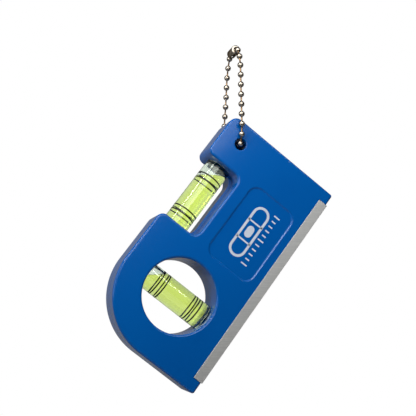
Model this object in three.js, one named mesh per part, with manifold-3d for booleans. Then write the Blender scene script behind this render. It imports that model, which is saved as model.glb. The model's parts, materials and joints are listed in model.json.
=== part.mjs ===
// Pocket spirit level hanging from a ball chain.
// Millimetres, +Z up along the hanging chain, +Y towards the back of the level.
// The origin is the middle of the chain's connector, where the level is held.
import * as THREE from 'three'
import { mergeVertices } from 'three/addons/utils/BufferGeometryUtils.js'
import Module from 'manifold-3d'

const wasm = await Module()
wasm.setup()

// Body: u runs along the base, w up from the base, and the depth is shared by two half shells.
const LENGTH = 84
const HEIGHT = 44.8
const DEPTH = 15.4
const TILT = 53 // degrees from the ground to the base, as the level hangs
const FACE_WALL = 2
const SIDE_WALL = 2
const PARTING_GAP = 0.3 // between the two half shells
const NOSE_RADIUS = 22.4 // the big round at the top of the left end
const FOOT_RADIUS = 0.7
const TOP_END_RADIUS = 3
const SHOULDER_RADIUS = 2.6 // the notch's two upper corners
const NOTCH = { left: 41.4, right: 67.4 }
const NOTCH_FLOOR = { front: 29.9, rear: 30.7 } // the rear shell's floor stands a little higher
const NOTCH_ROOT = { front: 2.8, rear: 4 }
const WINDOW = { u: 22.6, w: 22.8, radius: 12.6 } // the round hole that shows the plumb vial
const CHAIN_HOLE = { u: 76.77, w: 37.12, radius: 2.06, boss: 4.4 }
const PANEL = { u0: 39.35, u1: 69.4, w0: 5.85, w1: 25.4, radius: 4, depth: 0.4 }
const POSTS = [[9, 9], [54, 9], [76, 14]] // where the rear shell's pins enter the front shell
const POST = { radius: 1.2, length: 2.5, wall: 1.4, clearance: 0.3, root: 0.5 }
const PAST = 1 // how far a cutting solid runs past the face it opens
const LEAST_RADIUS = 0.3 // of a corner of the shells' hollow

// Base rail: an aluminium channel that is let into the bottom edge of both shells.
const RAIL = { u0: 4.4, u1: 79.6, bottom: -0.3, top: 3.2, proud: 0.2, wall: 1 }
const RAIL_GAP = 0.3

// Vials: a closed tube with a clear plug in its open end. x runs from the closed end to the plug.
const TUBE_RADIUS = 4.55
const BORE_RADIUS = 3.85 // at the middle of the barrel-shaped bore
const BARREL = 0.15 // how much narrower the bore is at its ends
const BARREL_STEPS = 6
const TUBE_END_WALL = 1.4
const SPIGOT = 1
const FLANGE = 2.8
const VIAL_GAP = 0.1 // plug to tube, and along the vial between its liquid and its ends
const LIQUID_GAP = 0.15 // liquid to bore
const CRADLE_GAP = 0.25 // shells to tube
const CRADLE_WALL = 1.8
const RING = { gap: 0.06, thickness: 0.12, width: 0.4 }
const BUBBLE = { radius: 2.45, length: 6.4, rise: 1.15, clearance: 0.3 }
const CHANNEL_END = 0.6 // liquid left at each end of the channel that the bubble runs in
const LEVEL_VIAL = { u: 38.4, w: 37.45, tube: 29.1, rings: [7.45, 9.3, 21.5, 23.6] }
const PLUMB_VIAL = { u: 22.65, w: 38, tube: 27, rings: [7.5, 9.8, 21.5, 23.6] }

// Ball chain: hollow beads joined by dumbbell pins, closed into a loop by a rolled connector.
const BEAD_RADIUS = 1.05
const PIN_RADIUS = 0.35
const PIN_GAP = 0.1 // from a pin's end to the next bead
const BEAD_PITCH = 3.56
const CHAIN_DROP = 35.2 // from the connector's axis down to the centre of the chain hole
const CONNECTOR = { radius: 1.65, bore: 1.27, mouth: 0.98, half: 3.1, end: 0.35, slot: 1.1 }

// The chain's route as [y, z above the chain hole's centre], from the connector round to the connector.
const ROUTE = [
  [-1.6, 35.2], [-5, 34.3], [-7, 31.4], [-7.9, 28], [-8.2, 24.5], [-8.5, 17.6], [-8.9, 12.5],
  [-9.15, 8], [-9.05, 3.6], [-7.9, 0.4], [-4, 0.5], [0, 0.6], [4, 0.6], [6.8, 0.5], [9.9, 0.9],
  [12, 3], [12.4, 6.4], [12, 10], [11.1, 13.8], [10.2, 17.2], [9.5, 20.6], [9, 24.1], [8.2, 27.7],
  [6.9, 31.2], [4.9, 34.2], [1.6, 35.2],
]

const AXIS_X = Math.PI / 2
const FACETS = { window: 48, tube: 24, hole: 20, bead: 8, beadRings: 6, bubble: 8, pin: 6, curve: 4 }

const blue = new THREE.MeshStandardMaterial({ color: 0x0f5fb4, roughness: 0.45, metalness: 0 })
const aluminium = new THREE.MeshStandardMaterial({ color: 0xb9bbbd, roughness: 0.35, metalness: 1 })
const acrylic = new THREE.MeshStandardMaterial({ color: 0xe8f2ea, roughness: 0.05, metalness: 0 })
const spirit = new THREE.MeshStandardMaterial({ color: 0xc9d95f, roughness: 0.05, metalness: 0 })
const air = new THREE.MeshStandardMaterial({ color: 0xf4faf0, roughness: 0.02, metalness: 0 })
const ink = new THREE.MeshStandardMaterial({ color: 0x14180f, roughness: 0.6, metalness: 0 })
const nickel = new THREE.MeshStandardMaterial({ color: 0xb8ab98, roughness: 0.25, metalness: 1 })

function solid(geometry) {
  const bare = geometry.clone()
  bare.deleteAttribute('normal')
  bare.deleteAttribute('uv')
  const merged = mergeVertices(bare)
  return new wasm.Manifold(new wasm.Mesh({
    numProp: 3,
    vertProperties: new Float32Array(merged.attributes.position.array),
    triVerts: new Uint32Array(merged.index.array),
  }))
}

function piece(name, manifold, material) {
  const { vertProperties, triVerts } = manifold.getMesh()
  const geometry = new THREE.BufferGeometry()
  geometry.setAttribute('position', new THREE.BufferAttribute(vertProperties, 3))
  geometry.setIndex(new THREE.BufferAttribute(triVerts, 1))
  geometry.computeVertexNormals()
  const mesh = new THREE.Mesh(geometry, material)
  mesh.name = name
  return mesh
}

// A flat outline drawn in u and w, filled from one depth to the other.
function slab(shape, y0, y1) {
  const geometry = new THREE.ExtrudeGeometry(shape, {
    depth: y1 - y0, bevelEnabled: false, curveSegments: FACETS.curve,
  })
  return solid(geometry.rotateX(AXIS_X).translate(0, y1, 0))
}

function block(u0, u1, y0, y1, w0, w1) {
  const geometry = new THREE.BoxGeometry(u1 - u0, y1 - y0, w1 - w0)
  return solid(geometry.translate((u0 + u1) / 2, (y0 + y1) / 2, (w0 + w1) / 2))
}

// A round bar through the depth of the body.
function barAcross(u, w, radius, y0, y1, facets) {
  const geometry = new THREE.CylinderGeometry(radius, radius, y1 - y0, facets)
  return solid(geometry.translate(u, (y0 + y1) / 2, w))
}

// A round bar along x, which vials and their beds use.
function barAlong(radius, x0, x1, rise = 0, facets = FACETS.tube) {
  const geometry = new THREE.CylinderGeometry(radius, radius, x1 - x0, facets)
  return solid(geometry.rotateZ(-AXIS_X).translate((x0 + x1) / 2, 0, rise))
}

// A profile of [x, radius] points turned about the x axis.
function turned(profile, facets) {
  const points = profile.map(([x, r]) => new THREE.Vector2(r, x))
  return solid(new THREE.LatheGeometry(points, facets).rotateZ(-AXIS_X))
}

// One shell's side view, drawn inwards by an inset so that the same outline cuts its hollow.
function bodyOutline(inset, shell) {
  const end = LENGTH - inset
  const top = HEIGHT - inset
  const corner = (radius) => Math.max(radius - inset, LEAST_RADIUS)
  const foot = corner(FOOT_RADIUS)
  const shoulder = corner(SHOULDER_RADIUS)
  const endTop = corner(TOP_END_RADIUS)
  const notch = { left: NOTCH.left - inset, right: NOTCH.right + inset, floor: NOTCH_FLOOR[shell] - inset }
  const root = NOTCH_ROOT[shell] + inset
  const shape = new THREE.Shape()
  shape.moveTo(inset + foot, inset)
  shape.lineTo(end - foot, inset)
  shape.absarc(end - foot, inset + foot, foot, -Math.PI / 2, 0)
  shape.absarc(end - endTop, top - endTop, endTop, 0, Math.PI / 2)
  shape.absarc(notch.right + shoulder, top - shoulder, shoulder, Math.PI / 2, Math.PI)
  shape.absarc(notch.right - root, notch.floor + root, root, 0, -Math.PI / 2, true)
  shape.absarc(notch.left + root, notch.floor + root, root, -Math.PI / 2, -Math.PI, true)
  shape.absarc(notch.left - shoulder, top - shoulder, shoulder, 0, Math.PI / 2)
  for (const part of [0, 1, 2]) {
    const turn = Math.PI / 6
    const from = Math.PI / 2 + part * turn
    shape.absarc(NOSE_RADIUS, HEIGHT - NOSE_RADIUS, NOSE_RADIUS - inset, from, from + turn)
  }
  shape.absarc(inset + foot, inset + foot, foot, Math.PI, Math.PI * 1.5)
  return shape
}

function roundedPanel({ u0, u1, w0, w1, radius }) {
  const shape = new THREE.Shape()
  shape.absarc(u1 - radius, w0 + radius, radius, -Math.PI / 2, 0)
  shape.absarc(u1 - radius, w1 - radius, radius, 0, Math.PI / 2)
  shape.absarc(u0 + radius, w1 - radius, radius, Math.PI / 2, Math.PI)
  shape.absarc(u0 + radius, w0 + radius, radius, Math.PI, Math.PI * 1.5)
  shape.closePath()
  return shape
}

function vialLength(vial) {
  return vial.tube + VIAL_GAP + FLANGE
}

// Places a solid made along x on a vial's own axis in the body.
function onVial(made, vial, upright) {
  const place = new THREE.Matrix4().makeTranslation(vial.u, 0, vial.w)
  if (upright) place.multiply(new THREE.Matrix4().makeRotationY(AXIS_X))
  return made.transform(place.elements)
}

// A half shell for one side: side is -1 for the front and 1 for the back.
function halfShell(side) {
  const outline = (inset) => bodyOutline(inset, side < 0 ? 'front' : 'rear')
  const slice = (y0, y1) => (side < 0 ? [-y1, -y0] : [y0, y1])
  const half = DEPTH / 2
  const seam = PARTING_GAP / 2
  const inner = half - FACE_WALL
  const past = half + PAST
  let shell = slab(outline(0), ...slice(seam, half))
  shell = shell.subtract(slab(outline(SIDE_WALL), ...slice(-PAST, inner)))

  // Walls that stand inside the hollow: the window's ring, the vial beds and the chain hole's boss.
  const bedRadius = TUBE_RADIUS + CRADLE_GAP
  const bedBlock = bedRadius + CRADLE_WALL
  const levelEnd = LEVEL_VIAL.u + vialLength(LEVEL_VIAL)
  const plumbEnd = PLUMB_VIAL.w - vialLength(PLUMB_VIAL)
  const filled = slab(outline(0), ...slice(seam, half))
  const fillings = [
    barAcross(WINDOW.u, WINDOW.w, WINDOW.radius + SIDE_WALL, ...slice(seam, half), FACETS.window),
    barAcross(CHAIN_HOLE.u, CHAIN_HOLE.w, CHAIN_HOLE.boss, ...slice(seam, half), FACETS.hole),
    block(LEVEL_VIAL.u - CRADLE_WALL, NOTCH.left, ...slice(seam, half),
      LEVEL_VIAL.w - bedBlock, LEVEL_VIAL.w + bedBlock),
    block(NOTCH.right, levelEnd + CRADLE_WALL, ...slice(seam, half),
      LEVEL_VIAL.w - bedBlock, LEVEL_VIAL.w + bedBlock),
    block(PLUMB_VIAL.u - bedBlock, PLUMB_VIAL.u + bedBlock, ...slice(seam, half),
      plumbEnd - CRADLE_WALL, PLUMB_VIAL.w + CRADLE_WALL),
    block(SIDE_WALL, LENGTH - SIDE_WALL, ...slice(seam, half), 0, RAIL.top + RAIL_GAP + SIDE_WALL),
  ]
  for (const filling of fillings) shell = shell.add(filling.intersect(filled))

  // Holes through the depth, and the beds that the two vials lie in.
  const cuts = [
    barAcross(WINDOW.u, WINDOW.w, WINDOW.radius, ...slice(-PAST, past), FACETS.window),
    barAcross(CHAIN_HOLE.u, CHAIN_HOLE.w, CHAIN_HOLE.radius, ...slice(-PAST, past), FACETS.hole),
    onVial(barAlong(bedRadius, -CRADLE_GAP, vialLength(LEVEL_VIAL) + CRADLE_GAP), LEVEL_VIAL, false),
    onVial(barAlong(bedRadius, -CRADLE_GAP, vialLength(PLUMB_VIAL) + CRADLE_GAP), PLUMB_VIAL, true),
    slab(roundedPanel(PANEL), ...slice(half - PANEL.depth, past)),
  ]

  // The rebate for the rail's web, and the shallow one for its flange on this face.
  const rail = { left: RAIL.u0 - RAIL_GAP, right: RAIL.u1 + RAIL_GAP }
  const webTop = RAIL.bottom + RAIL.wall + RAIL_GAP
  const flangeInside = half + RAIL.proud - RAIL.wall - RAIL_GAP
  cuts.push(block(rail.left, rail.right, ...slice(-PAST, past), -PAST, webTop))
  cuts.push(block(rail.left, rail.right, ...slice(flangeInside, past), -PAST, RAIL.top + RAIL_GAP))
  for (const cut of cuts) shell = shell.subtract(cut)

  // Pins on the rear shell drop into sockets that stand up from the front shell's face.
  for (const [u, w] of POSTS) {
    const socket = POST.radius + POST.clearance
    const post = barAcross(u, w, socket + POST.wall, ...slice(seam, inner + POST.root), FACETS.hole)
    shell = shell.add(post)
    if (side < 0) {
      shell = shell.subtract(barAcross(u, w, socket, -POST.length - POST.root, PAST, FACETS.hole))
    } else {
      shell = shell.add(barAcross(u, w, POST.radius, -POST.length, seam + POST.root, FACETS.hole))
    }
  }
  return shell
}

function baseRail() {
  const outside = DEPTH / 2 + RAIL.proud
  const inside = outside - RAIL.wall
  const channel = block(RAIL.u0, RAIL.u1, -outside, outside, RAIL.bottom, RAIL.top)
  return channel.subtract(
    block(
      RAIL.u0 - PAST, RAIL.u1 + PAST, -inside, inside, RAIL.bottom + RAIL.wall, RAIL.top + PAST,
    ),
  )
}

// The bore's radius along its length: widest at the middle, as a barrel is.
function boreProfile(x0, x1, shrink) {
  const points = []
  for (let step = 0; step <= BARREL_STEPS; step += 1) {
    const along = (2 * step) / BARREL_STEPS - 1
    points.push([x0 + ((x1 - x0) * step) / BARREL_STEPS, BORE_RADIUS - BARREL * along ** 2 - shrink])
  }
  return points
}

// One vial's pieces, laid along x from the tube's closed end; the bubble rests at one end of its channel.
function vialPieces(name, vial, bubbleAtPlug) {
  const group = new THREE.Group()
  const boreEnd = vial.tube
  const wetEnd = boreEnd - SPIGOT - VIAL_GAP
  const bore = boreProfile(TUBE_END_WALL, boreEnd, 0)
  const tube = turned([
    [0, 0], [0, TUBE_RADIUS], [boreEnd, TUBE_RADIUS], ...bore.reverse(), [TUBE_END_WALL, 0],
  ], FACETS.tube)
  group.add(piece(`${name}_tube`, tube, acrylic))

  const spigotRadius = BORE_RADIUS - BARREL - VIAL_GAP
  const plug = turned([
    [boreEnd - SPIGOT, 0], [boreEnd - SPIGOT, spigotRadius], [boreEnd + VIAL_GAP, spigotRadius],
    [boreEnd + VIAL_GAP, TUBE_RADIUS], [boreEnd + VIAL_GAP + FLANGE, TUBE_RADIUS],
    [boreEnd + VIAL_GAP + FLANGE, 0],
  ], FACETS.tube)
  group.add(piece(`${name}_plug`, plug, acrylic))

  // The liquid fills the bore, apart from the channel along its upper side that the bubble runs in.
  const wetStart = TUBE_END_WALL + VIAL_GAP
  const wet = boreProfile(wetStart, wetEnd, LIQUID_GAP)
  const channelRadius = BUBBLE.radius + BUBBLE.clearance
  const liquid = turned([[wetStart, 0], ...wet, [wetEnd, 0]], FACETS.tube)
    .subtract(barAlong(channelRadius, wetStart + CHANNEL_END, wetEnd - CHANNEL_END, BUBBLE.rise))
  group.add(piece(`${name}_liquid`, liquid, spirit))

  const half = BUBBLE.length / 2
  const margin = CHANNEL_END + BUBBLE.clearance + half
  const rest = bubbleAtPlug ? wetEnd - margin : wetStart + margin
  const bubble = piece(`${name}_bubble`, solid(
    new THREE.SphereGeometry(1, FACETS.tube / 2, FACETS.bubble).scale(half, BUBBLE.radius, BUBBLE.radius),
  ), air)
  bubble.position.set(rest, 0, BUBBLE.rise)
  group.add(bubble)

  vial.rings.forEach((x, index) => {
    const low = TUBE_RADIUS + RING.gap
    const high = low + RING.thickness
    const [x0, x1] = [x - RING.width / 2, x + RING.width / 2]
    const ring = turned([[x0, low], [x0, high], [x1, high], [x1, low], [x0, low]], FACETS.tube)
    group.add(piece(`${name}_ring_${index + 1}`, ring, ink))
  })
  return group
}

function connector() {
  const { radius, bore, mouth, half, end, slot } = CONNECTOR
  const shape = barAcross(0, 0, radius, -half, half, FACETS.hole)
    .subtract(barAcross(0, 0, bore, end - half, half - end, FACETS.hole))
    .subtract(barAcross(0, 0, mouth, -half - PAST, half + PAST, FACETS.hole))
    .subtract(block(-slot / 2, slot / 2, -half - PAST, half + PAST, -radius - PAST, 0))
  return piece('chain_connector', shape, nickel)
}

// A bead with the pin that links it to the next one, in the chain's own plane.
function beadWithPin(here, next) {
  const ball = new THREE.SphereGeometry(BEAD_RADIUS, FACETS.bead, FACETS.beadRings)
  const shape = solid(ball)
  if (!next) return shape
  const reach = next.clone().sub(here)
  const length = reach.length() - BEAD_RADIUS - PIN_GAP
  const pin = new THREE.CylinderGeometry(PIN_RADIUS, PIN_RADIUS, length, FACETS.pin)
  const turn = new THREE.Quaternion().setFromUnitVectors(
    new THREE.Vector3(0, 1, 0), reach.clone().normalize(),
  )
  return shape.add(solid(pin.translate(0, length / 2, 0).applyQuaternion(turn)))
}

function chain() {
  const route = new THREE.CatmullRomCurve3(
    ROUTE.map(([y, z]) => new THREE.Vector3(0, y, z - CHAIN_DROP)),
  )
  const gaps = Math.round(route.getLength() / BEAD_PITCH)
  const places = route.getSpacedPoints(gaps)
  const group = new THREE.Group()
  places.forEach((place, index) => {
    const bead = piece(
      `chain_bead_${String(index + 1).padStart(2, '0')}`, beadWithPin(place, places[index + 1]), nickel,
    )
    bead.position.copy(place)
    group.add(bead)
  })
  return group
}

// The level turns about its chain hole, so its group is placed by that hole and then tilted.
const level = new THREE.Group()
level.add(piece('front_shell', halfShell(-1), blue))
level.add(piece('rear_shell', halfShell(1), blue))
level.add(piece('base_rail', baseRail(), aluminium))

const levelVial = vialPieces('level_vial', LEVEL_VIAL, true)
levelVial.position.set(LEVEL_VIAL.u, 0, LEVEL_VIAL.w)
const plumbVial = vialPieces('plumb_vial', PLUMB_VIAL, false)
plumbVial.position.set(PLUMB_VIAL.u, 0, PLUMB_VIAL.w)
plumbVial.rotation.y = AXIS_X
level.add(levelVial, plumbVial)

const hanging = new THREE.Group()
level.position.set(-CHAIN_HOLE.u, 0, -CHAIN_HOLE.w)
hanging.add(level)
hanging.rotation.y = THREE.MathUtils.degToRad(-TILT)
hanging.position.set(0, 0, -CHAIN_DROP)

const pocketLevel = new THREE.Group()
pocketLevel.add(connector(), chain(), hanging)

export default pocketLevel
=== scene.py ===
"""A pocket spirit level that hangs from a ball chain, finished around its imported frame."""
import json
import math

import bmesh
import bpy
from mathutils import Matrix, Vector


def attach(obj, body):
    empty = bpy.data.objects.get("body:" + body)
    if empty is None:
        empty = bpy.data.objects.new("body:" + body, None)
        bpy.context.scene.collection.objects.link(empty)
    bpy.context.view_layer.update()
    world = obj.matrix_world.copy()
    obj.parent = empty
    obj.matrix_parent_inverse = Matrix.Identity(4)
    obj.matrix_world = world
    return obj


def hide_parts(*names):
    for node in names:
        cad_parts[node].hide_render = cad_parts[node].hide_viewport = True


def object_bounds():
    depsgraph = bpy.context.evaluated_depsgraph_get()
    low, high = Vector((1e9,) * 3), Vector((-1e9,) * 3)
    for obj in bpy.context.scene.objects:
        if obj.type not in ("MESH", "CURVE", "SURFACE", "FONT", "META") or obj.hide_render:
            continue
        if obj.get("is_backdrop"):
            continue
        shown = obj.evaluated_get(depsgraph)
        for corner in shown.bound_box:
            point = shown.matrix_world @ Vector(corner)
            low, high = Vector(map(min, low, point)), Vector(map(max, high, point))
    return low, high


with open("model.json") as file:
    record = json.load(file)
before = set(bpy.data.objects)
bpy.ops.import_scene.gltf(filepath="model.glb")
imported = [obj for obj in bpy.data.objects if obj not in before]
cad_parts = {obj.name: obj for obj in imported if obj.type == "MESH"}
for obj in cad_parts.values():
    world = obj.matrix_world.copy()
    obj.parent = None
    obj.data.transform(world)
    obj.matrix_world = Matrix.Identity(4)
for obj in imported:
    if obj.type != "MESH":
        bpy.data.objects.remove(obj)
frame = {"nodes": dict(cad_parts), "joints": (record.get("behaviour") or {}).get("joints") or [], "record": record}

cad_low, cad_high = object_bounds()
scene = bpy.context.scene


# Camera: a short telephoto below and to the left of the level, looking slightly up at it.
# It is close enough for the notch's floor and the left walls to show in perspective.
EYE = Vector((-0.0814, -0.2608, -0.0912))
AIM = Vector((-0.00945, 0.0002, -0.05662))
camera_data = bpy.data.cameras.new("camera")
camera_data.sensor_width = 36
camera_data.lens = 68.2
camera = bpy.data.objects.new("camera", camera_data)
camera.location = EYE
camera.rotation_mode = "QUATERNION"
camera.rotation_quaternion = (AIM - EYE).to_track_quat("-Z", "Y")
scene.collection.objects.link(camera)
scene.camera = camera


# Body: two half shells of injection-moulded ABS, dyed blue, that close on each other at mid-depth.
# Each has a round window, a notch, a shallow panel, a hole for the chain and a spark-textured face.
# Sizes are in millimetres along the body: u along the base, w up from it, y through its depth.
MM = 0.001
LENGTH = 84.0
HEIGHT = 44.8
HALF_DEPTH = 7.7
NOTCH_LEFT, NOTCH_RIGHT = 41.4, 67.4
NOTCH_FLOOR = {"front_shell": 29.9, "rear_shell": 30.7}
NOTCH_ROOT = {"front_shell": 2.8, "rear_shell": 4.0}
SHOULDER, TOP_END, NOSE = 2.6, 3.0, 22.4
WINDOW_U, WINDOW_W, WINDOW_RADIUS = 22.6, 22.8, 12.6
HOLE_U, HOLE_W, HOLE_RADIUS = 76.77, 37.12, 2.06
HOLE_RIM = 0.3
EYE_WALL, CHAMBER = 1.6, 3.3  # the wall round the chain hole, and the radius of the space behind it
RIM = 0.8
SEAM, SEAM_EDGE = 0.03, 0.12  # the gap on each side of the parting line, and its worn edge
DRAFT = 0.04
PANEL = {"u": (39.35, 69.4), "w": (5.85, 25.4), "corner": 4.0, "depth": 0.4, "slope": 0.7}
RAIL = {"u": (4.4, 79.6), "bottom": -0.3, "top": 3.2, "outside": 7.9}
RAIL_WALL, RAIL_GAP, RAIL_EDGE = 1.0, 0.08, 0.12
VIAL_RADIUS = 4.55
LEVEL_VIAL = {"u": 38.4, "w": 37.45, "tube": 29.1, "upright": False}
PLUMB_VIAL = {"u": 22.65, "w": 38.0, "tube": 27.0, "upright": True}
FLANGE, PLUG_GAP, BED_GAP = 2.8, 0.1, 0.1
CUT_PAST, CUT_OUT = 1.0, 9.0  # a cutter runs from past the seam to well outside the face
ABOVE_FACE = 0.004

swing = next(joint for joint in frame["joints"] if joint["name"] == "level_swing")
mounts = {mount["name"]: mount for mount in frame["record"]["mounts"]}
along = Vector(mounts["square_end_face"]["axis"])
upwards = -Vector(mounts["base_face"]["axis"])
body_place = Matrix((along, Vector((0, 1, 0)), upwards)).transposed().to_4x4()
body_place.translation = Vector(swing["pos_m"])
body_place = body_place @ Matrix.Scale(MM, 4) @ Matrix.Translation((-HOLE_U, 0, -HOLE_W))


def linear(hex_colour):
    """An sRGB hex colour as linear red, green, blue and alpha."""
    channels = [int(hex_colour[i : i + 2], 16) / 255 for i in (1, 3, 5)]
    return [c / 12.92 if c < 0.04045 else ((c + 0.055) / 1.055) ** 2.4 for c in channels] + [1.0]


def node(tree, kind, inputs=(), **settings):
    """Adds a shader node with its settings; an input is a value or another node's output."""
    added = tree.nodes.new(kind)
    for name, value in settings.items():
        setattr(added, name, value)
    for name, value in dict(inputs).items():
        if isinstance(value, bpy.types.NodeSocket):
            tree.links.new(value, added.inputs[name])
        else:
            added.inputs[name].default_value = value
    return added


def new_material(name):
    material = bpy.data.materials.new(name)
    material.use_nodes = True
    material.node_tree.nodes.clear()
    return material, material.node_tree


def as_piece(name, made, material=None, crease=30):
    """Turns a bmesh into a smooth-shaded object whose edges stay sharp past the crease angle."""
    mesh = bpy.data.meshes.new(name)
    made.to_mesh(mesh)
    made.free()
    mesh.shade_smooth()
    mesh.set_sharp_from_angle(angle=math.radians(crease))
    if material:
        mesh.materials.append(material)
    piece = bpy.data.objects.new(name, mesh)
    scene.collection.objects.link(piece)
    return piece


def even_normals(piece):
    """Shades a piece by its large faces, so that they stay true beside an edge's small ones."""
    piece.modifiers.new("even normals", "WEIGHTED_NORMAL").keep_sharp = True


def fit(piece, place, body, slot, *nodes):
    """Moves a piece's mesh to its place and hands the piece to the frame."""
    piece.data.transform(place)
    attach(piece, body)
    if nodes:
        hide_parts(*nodes)


def apply_modifiers(piece):
    """Replaces a piece's mesh with what its modifiers make of it."""
    made = piece.evaluated_get(bpy.context.evaluated_depsgraph_get())
    piece.data = bpy.data.meshes.new_from_object(made)
    piece.modifiers.clear()


def carve(piece, cutter):
    """Cuts one piece with another, and removes the cutter."""
    boolean = piece.modifiers.new("carve", "BOOLEAN")
    boolean.object, boolean.operation, boolean.solver = cutter, "DIFFERENCE", "EXACT"
    apply_modifiers(piece)
    bpy.data.objects.remove(cutter)


def flat_outline(corners, y):
    """A face with the given corners, each (u, w, radius), rounded by bevelling its points."""
    made = bmesh.new()
    points = [made.verts.new((u, y, w)) for u, w, _ in corners]
    made.faces.new(points)
    for point, (_, _, radius) in zip(points, corners):
        if radius:
            bmesh.ops.bevel(
                made, geom=[point], offset=radius, offset_type="OFFSET", affect="VERTICES",
                segments=max(8, round(radius * 2.2)), profile=0.5, material=-1,
            )
    return made


def raise_face(made, y):
    """Extrudes the only face of a flat outline to another depth, and closes the solid."""
    raised = bmesh.ops.extrude_face_region(made, geom=made.faces[:], use_keep_orig=True)["geom"]
    points = [part for part in raised if isinstance(part, bmesh.types.BMVert)]
    for point in points:
        point.co.y = y
    bmesh.ops.recalc_face_normals(made, faces=made.faces)
    return points


def turned(profile, steps):
    """A solid made by turning (x, radius) points about the x axis."""
    made = bmesh.new()
    points = [made.verts.new((x, 0, radius)) for x, radius in profile]
    edges = [made.edges.new(pair) for pair in zip(points, points[1:])]
    bmesh.ops.spin(
        made, geom=points + edges, axis=(1, 0, 0), cent=(0, 0, 0), angle=math.tau, steps=steps,
        use_merge=True,
    )
    bmesh.ops.remove_doubles(made, verts=made.verts, dist=1e-5)
    bmesh.ops.recalc_face_normals(made, faces=made.faces)
    return made


def arc(centre, radius, start, end, steps):
    """Points on an arc, from one angle in degrees to another."""
    angles = [math.radians(start + (end - start) * i / steps) for i in range(steps + 1)]
    return [(centre[0] + radius * math.cos(a), centre[1] + radius * math.sin(a)) for a in angles]


def round_cutter(profile, u, w, steps):
    """A turned cutter whose axis runs through the body's depth."""
    made = turned(profile, steps)
    place = Matrix.Translation((u, 0, w)) @ Matrix.Rotation(math.pi / 2, 4, "Z")
    bmesh.ops.transform(made, verts=made.verts, matrix=place)
    return as_piece("round_cutter", made)


def bored(u, w, radius, rim, steps):
    """A cutter for a round hole through one half shell, flared to a rounded rim at the face."""
    flare = arc((-HALF_DEPTH + rim, radius + rim), rim, 270, 187, 8)
    inner_end = [(CUT_PAST, 0), (CUT_PAST, radius - DRAFT)]
    outer_end = [(-CUT_OUT, flare[-1][1] + 0.1), (-CUT_OUT, 0)]
    return round_cutter(inner_end + flare + outer_end, u, w, steps)


def panel_cutter():
    """A cutter for the sunk panel: a rounded rectangle that falls in a smooth S to a flat floor."""
    (u0, u1), (w0, w1), corner = PANEL["u"], PANEL["w"], PANEL["corner"]
    corners = [(u0, w0, corner), (u1, w0, corner), (u1, w1, corner), (u0, w1, corner)]
    made = flat_outline(corners, -CUT_OUT)
    raise_face(made, -HALF_DEPTH - ABOVE_FACE)
    floor = max(made.faces, key=lambda face: face.calc_center_median().y)
    steps = 8
    for step in range(steps):
        fall = [PANEL["depth"] * (1 - math.cos(math.pi * (step + i) / steps)) / 2 for i in (0, 1)]
        bmesh.ops.inset_region(
            made, faces=[floor], thickness=PANEL["slope"] / steps, depth=fall[1] - fall[0],
            use_even_offset=True,
        )
    return as_piece("panel", made)


def box_cutter(u, y, w):
    made = bmesh.new()
    bmesh.ops.create_cube(made, size=1)
    size = Vector((u[1] - u[0], y[1] - y[0], w[1] - w[0]))
    middle = Vector(((u[0] + u[1]) / 2, (y[0] + y[1]) / 2, (w[0] + w[1]) / 2))
    bmesh.ops.scale(made, vec=size, verts=made.verts)
    bmesh.ops.translate(made, vec=middle, verts=made.verts)
    return as_piece("box", made)


def vial_place(vial):
    """Where a vial lies in the body: its length runs along u, or downwards when it is upright."""
    place = Matrix.Translation((vial["u"], 0, vial["w"]))
    return place @ Matrix.Rotation(math.pi / 2, 4, "Y") if vial["upright"] else place


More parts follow.
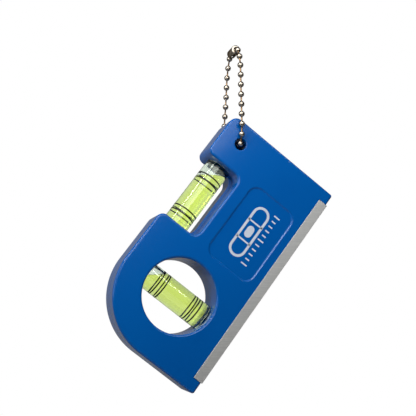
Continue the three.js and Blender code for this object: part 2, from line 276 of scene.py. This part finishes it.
def half_shell(name):
    """A half shell on the front side; the rear one is mirrored to its own side afterwards."""
    floor, root = NOTCH_FLOOR[name], NOTCH_ROOT[name]
    corners = [
        (0, 0, 0), (LENGTH, 0, 0), (LENGTH, HEIGHT, TOP_END), (NOTCH_RIGHT, HEIGHT, SHOULDER),
        (NOTCH_RIGHT, floor, root), (NOTCH_LEFT, floor, root),
        (NOTCH_LEFT, HEIGHT, SHOULDER), (0, HEIGHT, NOSE),
    ]
    made = flat_outline(corners, -SEAM)
    raise_face(made, -HALF_DEPTH)
    near = 1e-4

    def edges_where(chosen):
        return [edge for edge in made.edges if all(chosen(point.co) for point in edge.verts)]

    rim = edges_where(lambda at: abs(at.y + HALF_DEPTH) < near)
    feet = edges_where(lambda at: at.z < near and min(at.x, LENGTH - at.x) < near)
    bmesh.ops.bevel(
        made, geom=list(set(rim + feet)), offset=RIM, offset_type="OFFSET", affect="EDGES",
        segments=7, profile=0.5, material=-1, clamp_overlap=False,
    )
    bmesh.ops.bevel(
        made, geom=edges_where(lambda at: abs(at.y + SEAM) < near), offset=SEAM_EDGE,
        offset_type="OFFSET", affect="EDGES", segments=2, profile=0.5, material=-1,
    )
    shell = as_piece("shell", made)
    carve(shell, bored(WINDOW_U, WINDOW_W, WINDOW_RADIUS, RIM, 128))
    carve(shell, bored(HOLE_U, HOLE_W, HOLE_RADIUS, HOLE_RIM, 48))
    face_end = EYE_WALL - HALF_DEPTH
    chamber = [(CUT_PAST, 0), (CUT_PAST, CHAMBER), (face_end, CHAMBER), (face_end, 0)]
    carve(shell, round_cutter(chamber, HOLE_U, HOLE_W, 48))
    carve(shell, panel_cutter())
    for vial in (LEVEL_VIAL, PLUMB_VIAL):
        bed_end, bed_radius = vial["tube"] + PLUG_GAP + FLANGE + BED_GAP, VIAL_RADIUS + BED_GAP
        bed = turned(
            [(-BED_GAP, 0), (-BED_GAP, bed_radius), (bed_end, bed_radius), (bed_end, 0)], 64,
        )
        bmesh.ops.transform(bed, verts=bed.verts, matrix=vial_place(vial))
        carve(shell, as_piece("bed", bed))
    ends = (RAIL["u"][0] - RAIL_GAP, RAIL["u"][1] + RAIL_GAP)
    inside = RAIL["outside"] - RAIL_WALL - RAIL_GAP
    web = (-CUT_PAST, RAIL["bottom"] + RAIL_WALL + RAIL_GAP)
    carve(shell, box_cutter(ends, (-CUT_OUT, CUT_PAST), web))
    carve(shell, box_cutter(ends, (-CUT_OUT, -inside), (-2 * CUT_PAST, RAIL["top"] + RAIL_GAP)))
    return shell


abs_blue, tree = new_material("moulded_blue_abs")
place_at = node(tree, "ShaderNodeTexCoord").outputs["Object"]
# Spark-eroded mould texture, about 0.24 mm from peak to peak: it makes the gloss a satin.
grain = node(tree, "ShaderNodeTexNoise", {"Vector": place_at, "Scale": 4200.0, "Detail": 2.0})
# Slow flow marks, about 25 mm across, in the depth of the colour.
flow = node(tree, "ShaderNodeTexNoise", {"Vector": place_at, "Scale": 40.0, "Detail": 2.0})
tint = node(tree, "ShaderNodeMix", {
    "Factor": flow.outputs["Fac"], "A": linear("#005CB2"), "B": linear("#0065BC"),
}, data_type="RGBA")
gloss = node(tree, "ShaderNodeMapRange", {
    "Value": grain.outputs["Fac"], "To Min": 0.11, "To Max": 0.18,
})
relief = node(tree, "ShaderNodeBump", {
    "Height": grain.outputs["Fac"], "Strength": 0.05, "Distance": 0.00004,
})
plastic = node(tree, "ShaderNodeBsdfPrincipled", {
    "Base Color": tint.outputs["Result"], "Roughness": gloss.outputs["Result"], "IOR": 1.46,
    "Normal": relief.outputs["Normal"],
})
node(tree, "ShaderNodeOutputMaterial", {"Surface": plastic.outputs["BSDF"]})

for side, name in ((1, "front_shell"), (-1, "rear_shell")):
    shell = half_shell(name)
    shell.name = shell.data.name = f"{name}_moulding"
    if side < 0:
        shell.data.transform(Matrix.Diagonal((1, -1, 1, 1)))
        shell.data.flip_normals()
    shell.data.materials.clear()
    shell.data.materials.append(abs_blue)
    shell.data.shade_smooth()
    shell.data.set_sharp_from_angle(angle=math.radians(35))
    even_normals(shell)
    fit(shell, body_place, "level", "blue_abs", name)


# Base rail: an extruded aluminium channel let into the bottom of both shells.
# Its web is the level's working edge, and its two lips lie in steps along the foot of each face.
rail_metal, tree = new_material("extruded_aluminium")
place_at = node(tree, "ShaderNodeTexCoord").outputs["Object"]
turn = node(tree, "ShaderNodeMapping", {
    "Vector": place_at, "Rotation": (0, math.atan2(along.z, along.x), 0),
    "Scale": (90.0, 4200.0, 4200.0),
}, vector_type="POINT")
# Die lines run the length of the extrusion, about 0.24 mm apart.
lines = node(tree, "ShaderNodeTexNoise", {
    "Vector": turn.outputs["Vector"], "Scale": 1.0, "Detail": 2.0,
})
speckle = node(tree, "ShaderNodeTexNoise", {"Vector": place_at, "Scale": 3000.0, "Detail": 1.0})
blend = node(tree, "ShaderNodeMix", {
    "Factor": lines.outputs["Fac"], "A": linear("#CFD0CF"), "B": linear("#EDEDEB"),
}, data_type="RGBA")
gloss = node(tree, "ShaderNodeMapRange", {
    "Value": speckle.outputs["Fac"], "To Min": 0.55, "To Max": 0.75,
})
relief = node(tree, "ShaderNodeBump", {
    "Height": lines.outputs["Fac"], "Strength": 0.2, "Distance": 0.00003,
})
metal = node(tree, "ShaderNodeBsdfPrincipled", {
    "Base Color": blend.outputs["Result"], "Metallic": 1.0, "Roughness": gloss.outputs["Result"],
    "Normal": relief.outputs["Normal"],
})
node(tree, "ShaderNodeOutputMaterial", {"Surface": metal.outputs["BSDF"]})

outside, inside = RAIL["outside"], RAIL["outside"] - RAIL_WALL
bottom, web, top = RAIL["bottom"], RAIL["bottom"] + RAIL_WALL, RAIL["top"]
section = [
    (-outside, bottom), (outside, bottom), (outside, top), (inside, top),
    (inside, web), (-inside, web), (-inside, top), (-outside, top),
]
made = bmesh.new()
end_face = made.faces.new([made.verts.new((RAIL["u"][0], y, w)) for y, w in section])
raised = bmesh.ops.extrude_face_region(made, geom=[end_face], use_keep_orig=True)["geom"]
bmesh.ops.translate(
    made, vec=(RAIL["u"][1] - RAIL["u"][0], 0, 0),
    verts=[part for part in raised if isinstance(part, bmesh.types.BMVert)],
)
bmesh.ops.recalc_face_normals(made, faces=made.faces)
bmesh.ops.bevel(
    made, geom=made.edges[:], offset=RAIL_EDGE, offset_type="OFFSET", affect="EDGES", segments=3,
    profile=0.5, material=-1,
)
rail = as_piece("base_rail_channel", made, rail_metal)
even_normals(rail)
fit(rail, body_place, "level", "aluminium", "base_rail")


# Vials: a clear acrylic tube, closed at one end, with a barrel-shaped bore and a plug in the other.
# The bore is full of dyed spirit but for one bubble, and four black rings are printed on the tube.
BORE, BARREL, END_WALL = 3.85, 0.15, 1.4
TUBE_CORNER, LIP = 0.4, 0.1
SPIGOT, PRESS_FIT, WELD = 1.0, 0.04, 0.06
WET_OVERLAP = 0.02
FILM = 0.01  # keeps the spirit's surface off the bubble's
BUBBLE_GAP, BUBBLE_SKIN = 0.12, 0.14
RING_HALF, RING_LOW, RING_HIGH = 0.24, 0.004, 0.03
TURN_STEPS = 160


def bore_line(x0, x1, grow):
    """The barrel bore's (x, radius) points, widest at mid-length."""
    steps = 16
    return [
        (x0 + (x1 - x0) * i / steps, BORE - BARREL * (2 * i / steps - 1) ** 2 + grow)
        for i in range(steps + 1)
    ]


def glass(name, colour, ior, roughness=0.0):
    """A clear see-through material, with the tree that a dye can be added to."""
    material, tree = new_material(name)
    clear = node(tree, "ShaderNodeBsdfGlass", {
        "Color": linear(colour), "IOR": ior, "Roughness": roughness,
    })
    node(tree, "ShaderNodeOutputMaterial", {"Surface": clear.outputs["BSDF"]})
    return material, tree


acrylic, _ = glass("polished_acrylic", "#F8FCF8", 1.49, 0.02)
spirit, tree = glass("dyed_spirit", "#FFFFFF", 1.36)
# The yellow-green dye takes out most of the blue over the bore's width, and a little of the red.
dye = node(tree, "ShaderNodeVolumeAbsorption", {"Color": linear("#F3F921"), "Density": 195.0})
tree.links.new(dye.outputs["Volume"], tree.nodes["Material Output"].inputs["Volume"])
air, _ = glass("air_in_spirit", "#FFFFFF", 1.0)
ring_ink, tree = new_material("printed_black_ink")
patchy = node(tree, "ShaderNodeTexNoise", {
    "Vector": node(tree, "ShaderNodeTexCoord").outputs["Object"], "Scale": 2500.0,
})
gloss = node(tree, "ShaderNodeMapRange", {
    "Value": patchy.outputs["Fac"], "To Min": 0.35, "To Max": 0.6,
})
ink = node(tree, "ShaderNodeBsdfPrincipled", {
    "Base Color": linear("#0A0D08"), "Roughness": gloss.outputs["Result"],
})
node(tree, "ShaderNodeOutputMaterial", {"Surface": ink.outputs["BSDF"]})


def bubble_shape(x0, x1, highest, level_at):
    """A bubble in the bore's highest corner, cut off flat where the liquid's level is."""
    radius = BORE - BUBBLE_GAP
    made = turned([(x0, 0), (x0, radius), (x1, radius), (x1, 0)], 48)
    bmesh.ops.bisect_plane(
        made, geom=made.verts[:] + made.edges[:] + made.faces[:], plane_co=highest * level_at,
        plane_no=highest, clear_inner=True,
    )
    bmesh.ops.holes_fill(made, edges=[edge for edge in made.edges if edge.is_boundary])
    bmesh.ops.recalc_face_normals(made, faces=made.faces)
    return made


# Where each bubble may lie along its vial, which way is up there, and the liquid's level that way.
BUBBLES = {
    "level_vial": ((16.0, 28.0), Vector((along.z, 0, upwards.z)), 19.9),
    "plumb_vial": ((1.5, 14.0), Vector((-upwards.z, 0, along.z)), -2.3),
}
RINGS = {"level_vial": [7.45, 9.3, 21.5, 23.6], "plumb_vial": [7.5, 9.8, 21.5, 23.6]}

for name, vial in (("level_vial", LEVEL_VIAL), ("plumb_vial", PLUMB_VIAL)):
    place = body_place @ vial_place(vial)
    tube_end = vial["tube"]
    bore = bore_line(END_WALL, tube_end, 0)
    corner = arc((TUBE_CORNER, VIAL_RADIUS - TUBE_CORNER), TUBE_CORNER, 180, 90, 5)
    rim = [(tube_end - LIP, VIAL_RADIUS), (tube_end, VIAL_RADIUS - LIP)]
    tube = turned([(0, 0)] + corner + rim + bore[::-1] + [(END_WALL, 0)], TURN_STEPS)
    tube = as_piece(f"{name}_tube_turned", tube, acrylic)
    even_normals(tube)
    fit(tube, place, "level", "clear_acrylic", f"{name}_tube")

    tip, spigot = tube_end - SPIGOT, BORE - BARREL + PRESS_FIT
    flange = (tube_end + WELD, tube_end + PLUG_GAP + FLANGE)
    plug = turned([
        (tip, 0), (tip, spigot - LIP), (tip + LIP, spigot),
        (flange[0], spigot), (flange[0], VIAL_RADIUS - LIP), (flange[0] + LIP, VIAL_RADIUS),
        (flange[1] - 2 * LIP, VIAL_RADIUS), (flange[1], VIAL_RADIUS - 2 * LIP), (flange[1], 0),
    ], TURN_STEPS)
    plug = as_piece(f"{name}_plug_turned", plug, acrylic)
    even_normals(plug)
    fit(plug, place, "level", "clear_acrylic", f"{name}_plug")

    wet = (END_WALL - WET_OVERLAP, tip + WET_OVERLAP)
    filling = turned([(wet[0], 0)] + bore_line(*wet, WET_OVERLAP) + [(wet[1], 0)], TURN_STEPS)
    liquid = as_piece(f"{name}_spirit", filling, spirit)
    fit(liquid, place, "level", "vial_liquid", f"{name}_liquid")

    (x0, x1), highest, level_at = BUBBLES[name]
    bubble = as_piece(f"{name}_bubble_air", bubble_shape(x0, x1, highest, level_at), air)
    skin = bubble.modifiers.new("even skin", "REMESH")
    skin.mode, skin.voxel_size = "VOXEL", BUBBLE_SKIN
    soften = bubble.modifiers.new("surface tension", "SMOOTH")
    soften.factor, soften.iterations = 0.5, 18
    apply_modifiers(bubble)
    bubble.data.shade_smooth()
    bubble.data.materials.clear()
    bubble.data.materials.append(air)
    fit(bubble, place, name.replace("vial", "bubble"), "air_bubble", f"{name}_bubble")
    hollow = liquid.modifiers.new("room for the bubble", "BOOLEAN")
    hollow.object, hollow.operation, hollow.solver = bubble, "DIFFERENCE", "EXACT"
    film = liquid.modifiers.new("film round the bubble", "DISPLACE")
    film.strength, film.mid_level = FILM * MM, 0.0
    even_normals(liquid)

    low, high = VIAL_RADIUS + RING_LOW, VIAL_RADIUS + RING_HIGH
    for index, x in enumerate(RINGS[name], 1):
        x0, x1 = x - RING_HALF, x + RING_HALF
        band = turned([(x0, low), (x0, high), (x1, high), (x1, low), (x0, low)], TURN_STEPS)
        ring = as_piece(f"{name}_ring_{index}_print", band, ring_ink)
        fit(ring, place, "level", "black_ink", f"{name}_ring_{index}")


# Printed mark: a plain sign of a level's vial over a scale.
# It is pad-printed in white ink on the floor of the front panel.
mark_ink, tree = new_material("pad_printed_white_ink")
patchy = node(tree, "ShaderNodeTexNoise", {
    "Vector": node(tree, "ShaderNodeTexCoord").outputs["Object"], "Scale": 1800.0, "Detail": 2.0,
})
cover = node(tree, "ShaderNodeMix", {
    "Factor": patchy.outputs["Fac"], "A": linear("#C9D6EA"), "B": linear("#E9EEF6"),
}, data_type="RGBA")
ink = node(tree, "ShaderNodeBsdfPrincipled", {
    "Base Color": cover.outputs["Result"], "Roughness": 0.5,
})
node(tree, "ShaderNodeOutputMaterial", {"Surface": ink.outputs["BSDF"]})
MARK_U, MARK_W, MARK_Y = 54.6, 16.6, -HALF_DEPTH + PANEL["depth"]
INK = 0.02
SIGN_WIDE, SIGN_HIGH, SIGN_LINE = 20.0, 6.4, 0.9
SPOT_WIDE, SPOT_HIGH = 4.4, 2.7
LINE_AT, LINE_WIDE, LINE_HIGH = 3.6, 0.6, 6.0
TICK_PITCH, TICK_WIDE, TICK_HIGH, LONG_TICK_HIGH, SCALE_DROP = 2.0, 0.5, 1.6, 2.4, 5.0


def printed(corners, line=0.0):
    """A flat shape in ink: solid, or a closed line of the given width with its middle left open."""
    made = flat_outline(corners, MARK_Y)
    if line:
        inner = made.faces[:]
        bmesh.ops.inset_region(
            made, faces=inner, thickness=line, use_even_offset=True, use_boundary=True,
        )
        bmesh.ops.delete(made, geom=inner, context="FACES_ONLY")
    raised = bmesh.ops.extrude_face_region(made, geom=made.faces[:], use_keep_orig=True)["geom"]
    bmesh.ops.translate(
        made, vec=(0, -INK, 0),
        verts=[part for part in raised if isinstance(part, bmesh.types.BMVert)],
    )
    bmesh.ops.recalc_face_normals(made, faces=made.faces)
    return made


def bar(shift, rise, wide, high, rounded=False):
    """The corners of a bar about a place on the mark, with ends that are all but half round."""
    u, w, radius = MARK_U + shift, MARK_W + rise, high / 2 - 0.01 if rounded else 0.0
    return [
        (u - wide / 2, w - high / 2, radius), (u + wide / 2, w - high / 2, radius),
        (u + wide / 2, w + high / 2, radius), (u - wide / 2, w + high / 2, radius),
    ]


shapes = [
    printed(bar(0, 0, SIGN_WIDE, SIGN_HIGH, rounded=True), SIGN_LINE),
    printed(bar(0, 0, SPOT_WIDE, SPOT_HIGH, rounded=True)),
]
shapes += [printed(bar(shift, 0, LINE_WIDE, LINE_HIGH)) for shift in (-LINE_AT, LINE_AT)]
for step in range(-5, 6):
    high = TICK_HIGH if step % 5 else LONG_TICK_HIGH
    shapes.append(printed(bar(TICK_PITCH * step, -SCALE_DROP, TICK_WIDE, high)))
gathered = bmesh.new()
for index, shape in enumerate(shapes):
    part = as_piece(f"mark_{index}", shape)
    gathered.from_mesh(part.data)
    bpy.data.objects.remove(part)
mark = as_piece("printed_mark", gathered, mark_ink)
mark.data.transform(body_place)
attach(mark, "level")


# Ball chain: hollow beads pressed from nickel-plated brass strip and joined by dumbbell pins.
# The loop passes through the chain hole and closes in a rolled connector, where the level is held.
nickel, tree = new_material("nickel_plated_brass")
place_at = node(tree, "ShaderNodeTexCoord").outputs["Object"]
wear = node(tree, "ShaderNodeTexNoise", {"Vector": place_at, "Scale": 900.0, "Detail": 3.0})
metal = node(tree, "ShaderNodeMix", {
    "Factor": wear.outputs["Fac"], "A": linear("#B0A493"), "B": linear("#DDD5C8"),
}, data_type="RGBA")
gloss = node(tree, "ShaderNodeMapRange", {
    "Value": wear.outputs["Fac"], "To Min": 0.16, "To Max": 0.32,
})
plating = node(tree, "ShaderNodeBsdfPrincipled", {
    "Base Color": metal.outputs["Result"], "Metallic": 1.0, "Roughness": gloss.outputs["Result"],
    "Specular Tint": linear("#6E5238"),
})
node(tree, "ShaderNodeOutputMaterial", {"Surface": plating.outputs["BSDF"]})

# The pins are given a darker, browner metal than the beads.
pin_metal, tree = new_material("darker_brown_wire")
place_at = node(tree, "ShaderNodeTexCoord").outputs["Object"]
wear = node(tree, "ShaderNodeTexNoise", {"Vector": place_at, "Scale": 900.0, "Detail": 3.0})
metal = node(tree, "ShaderNodeMix", {
    "Factor": wear.outputs["Fac"], "A": linear("#7A5C3C"), "B": linear("#B8946A"),
}, data_type="RGBA")
wire = node(tree, "ShaderNodeBsdfPrincipled", {
    "Base Color": metal.outputs["Result"], "Metallic": 1.0, "Roughness": 0.3,
})
node(tree, "ShaderNodeOutputMaterial", {"Surface": wire.outputs["BSDF"]})

BEAD, BEAD_WALL, MOUTH = 1.05, 0.16, 0.42
PIN, HEAD, HEAD_REACH, HEAD_CROWN, PLAY = 0.27, 0.46, 0.3, 0.1, 0.05
CONNECTOR, CONNECTOR_HALF, CONNECTOR_WALL, CONNECTOR_MOUTH = 1.6, 3.05, 0.22, 0.95
BEND, BEND_CUT, SLOT_HALF = 0.35, 0.1, 0.5


def bead_centre(cad_node):
    """A bead's middle: its widest point across the chain is level with its centre."""
    widest = max(cad_node.data.vertices, key=lambda point: point.co.x)
    return Vector((0, widest.co.y, widest.co.z))


def aligned(position, direction):
    """Places a piece made along x at a position, turned to a direction."""
    turn = direction.to_track_quat("X", "Z").to_matrix().to_4x4()
    return Matrix.Translation(position) @ turn @ Matrix.Scale(MM, 4)


bead_nodes = sorted(name for name in frame["nodes"] if name.startswith("chain_bead_"))
centres = [bead_centre(frame["nodes"][name]) for name in bead_nodes]
inside = BEAD - BEAD_WALL
mouth_angle = math.degrees(math.asin(MOUTH / BEAD))
inner_angle = math.degrees(math.asin(MOUTH / inside))
outer = arc((0, 0), BEAD, 180 - mouth_angle, mouth_angle, 18)
inner = arc((0, 0), inside, inner_angle, 180 - inner_angle, 12)
for index, (name, centre) in enumerate(zip(bead_nodes, centres)):
    before, after = centres[max(index - 1, 0)], centres[min(index + 1, len(centres) - 1)]
    ball = turned(outer + inner + outer[:1], 32)
    bead = as_piece(name.replace("bead", "ball"), ball, nickel, 50)
    fit(bead, aligned(centre, after - before), "chain", "nickel_plate", name)
    if index + 1 < len(centres):
        reach = centres[index + 1] - centre
        end = reach.length / MM / 2 - (inside - PLAY) + HEAD_REACH
        profile = [
            (-end - HEAD_REACH, 0), (-end - HEAD_REACH + HEAD_CROWN, HEAD),
            (-end + HEAD_CROWN, HEAD), (-end + HEAD_REACH, PIN),
        ]
        profile += [(-x, radius) for x, radius in profile[::-1]]
        pin = as_piece(name.replace("bead", "pin"), turned(profile, 20), pin_metal, 50)
        fit(pin, aligned(centre + reach / 2, reach), "chain", "nickel_plate")

# Connector: a strip rolled into an open barrel, whose ends turn in to hold the end beads.
# The slot that the roll leaves open runs the length of the barrel.
profile = [
    (-CONNECTOR_HALF, CONNECTOR_MOUTH), (-CONNECTOR_HALF, CONNECTOR - BEND),
    (-CONNECTOR_HALF + BEND_CUT, CONNECTOR - BEND_CUT), (-CONNECTOR_HALF + BEND, CONNECTOR),
]
profile += [(-x, radius) for x, radius in profile[::-1]]
made = bmesh.new()
points = [made.verts.new((x, 0, -radius)) for x, radius in profile]
edges = [made.edges.new(pair) for pair in zip(points, points[1:])]
slot_angle = 2 * math.asin(SLOT_HALF / CONNECTOR)
turn = Matrix.Rotation(slot_angle / 2, 3, "X")
bmesh.ops.rotate(made, verts=points, cent=(0, 0, 0), matrix=turn)
bmesh.ops.spin(
    made, geom=points + edges, axis=(1, 0, 0), cent=(0, 0, 0), angle=math.tau - slot_angle,
    steps=40,
)
bmesh.ops.recalc_face_normals(made, faces=made.faces)
bmesh.ops.solidify(made, geom=made.faces[:], thickness=CONNECTOR_WALL)
bmesh.ops.recalc_face_normals(made, faces=made.faces)
connector = as_piece("chain_connector_rolled", made, nickel, 40)
across = Matrix.Rotation(math.pi / 2, 4, "Z") @ Matrix.Scale(MM, 4)
fit(connector, across, "connector", "nickel_plate", "chain_connector")


# Studio: a pale floor well below, in a surround that is light behind the level and dark in front.
# A large card hazes the face's upper edges, a softbox lights the left side, and two strip lights
# draw lines on the vials.
FLOOR_RADIUS, FLOOR_DROP, FLOOR_GLOW = 0.9, 0.18, 0.7
scene.view_settings.view_transform = "Standard"
centre = (cad_low + cad_high) / 2


def area_light(name, place, towards, long_side, size, radiance):
    """A rectangular light that faces a direction, with its second side along another."""
    data = bpy.data.lights.new(name, "AREA")
    data.shape, data.size, data.size_y = "RECTANGLE", *size
    data.energy = radiance * math.pi * size[0] * size[1]
    light = bpy.data.objects.new(name, data)
    back = -Vector(towards).normalized()
    side = Vector(long_side).cross(back).normalized()
    turn = Matrix((side, back.cross(side), back)).transposed().to_4x4()
    light.matrix_world = Matrix.Translation(place) @ turn
    light.visible_camera = False
    scene.collection.objects.link(light)


def strip(name, direction, distance, long_side, size, radiance):
    away = Vector(direction).normalized()
    area_light(name, centre + away * distance, -away, long_side, size, radiance)


area_light("card", (-0.0236, -0.17, 0.0627), (0, 1, 0), (0.741, 0, 0.672), (0.18, 0.22), 2.6)
strip("strip", (-0.55, -0.45, 0.73), 0.18, along, (0.018, 0.17), 14.0)
strip("small_strip", (0.54, -0.69, 0.49), 0.32, upwards, (0.02, 0.05), 16.0)
strip("softbox", (-0.90, -0.30, 0.20), 0.34, (0, 0, 1), (0.20, 0.20), 2.0)

world = bpy.data.worlds.new("studio")
scene.world = world
world.use_nodes = True
tree = world.node_tree
tree.nodes.clear()
direction = node(tree, "ShaderNodeSeparateXYZ", {
    "Vector": node(tree, "ShaderNodeTexCoord").outputs["Generated"],
})
surround = node(tree, "ShaderNodeMapRange", {
    "Value": direction.outputs["Y"], "From Min": -0.2, "From Max": 0.7,
    "To Min": 0.012, "To Max": 0.24,
}, interpolation_type="SMOOTHSTEP")
path = node(tree, "ShaderNodeLightPath")
# Through the vials, the surround is lighter, so that the spirit shows its colour.
through = node(tree, "ShaderNodeMapRange", {
    "Value": direction.outputs["Y"], "From Min": -0.9, "From Max": 0.1,
    "To Min": 0.12, "To Max": 1.0,
}, interpolation_type="SMOOTHSTEP")
in_glass = node(tree, "ShaderNodeMix", {
    "Factor": path.outputs["Is Transmission Ray"],
    "A": surround.outputs["Result"], "B": through.outputs["Result"],
})
radiance = node(tree, "ShaderNodeMix", {
    "Factor": path.outputs["Is Camera Ray"], "A": in_glass.outputs["Result"], "B": 1.0,
})
background = node(tree, "ShaderNodeBackground", {
    "Color": linear("#FFFFFF"), "Strength": radiance.outputs["Result"],
})
node(tree, "ShaderNodeOutputWorld", {"Surface": background.outputs["Background"]})

made = bmesh.new()
bmesh.ops.create_circle(made, cap_ends=True, radius=FLOOR_RADIUS, segments=96)
bmesh.ops.translate(made, vec=(centre.x, centre.y, cad_low.z - FLOOR_DROP), verts=made.verts)
pale, tree = new_material("pale_floor")
path = node(tree, "ShaderNodeLightPath")
seen = node(tree, "ShaderNodeMath", {
    0: path.outputs["Is Camera Ray"], 1: path.outputs["Is Transmission Ray"],
}, operation="MAXIMUM")
# The floor glows where it is seen, directly or through a vial.
glow = node(tree, "ShaderNodeMath", {0: seen.outputs["Value"], 1: FLOOR_GLOW}, operation="MULTIPLY")
paint = node(tree, "ShaderNodeBsdfPrincipled", {
    "Base Color": linear("#F4F4F2"), "Roughness": 0.8, "Emission Color": linear("#FFFFFF"),
    "Emission Strength": glow.outputs["Value"],
})
node(tree, "ShaderNodeOutputMaterial", {"Surface": paint.outputs["BSDF"]})
floor = as_piece("floor", made, pale)
floor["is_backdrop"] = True

low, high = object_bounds()
